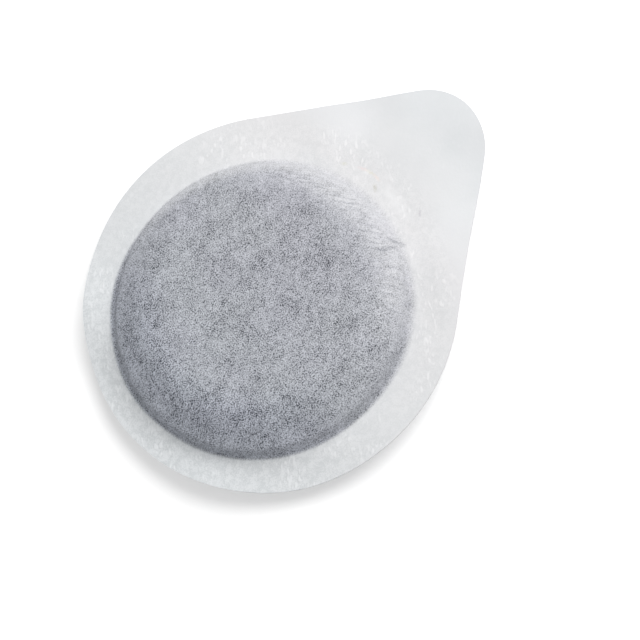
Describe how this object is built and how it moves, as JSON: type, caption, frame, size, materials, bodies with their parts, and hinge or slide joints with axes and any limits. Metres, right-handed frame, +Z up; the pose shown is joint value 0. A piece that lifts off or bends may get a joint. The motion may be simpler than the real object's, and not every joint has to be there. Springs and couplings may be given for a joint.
{
  "type": "coffee pod",
  "caption": "Soft paper coffee pod: a pressed round cake of ground coffee sealed between sheets of filter paper, welded flat around it into a flange with a drop-shaped holding tab.",
  "frame": {"origin": "centre of the flat crown of the lower paper, on the surface that the pod rests on", "axes": "+X from the axis of the coffee to the tip of the tab, +Z up along the axis of the coffee"},
  "size_m": [0.0684, 0.056, 0.009],
  "materials": {
    "filter_paper": "matte",
    "ground_coffee": "matte"
  },
  "bodies": {
    "root": {"upper_filter_paper": "filter_paper", "lower_filter_paper": "filter_paper", "pressed_coffee": "ground_coffee"}
  },
  "joints": []
}
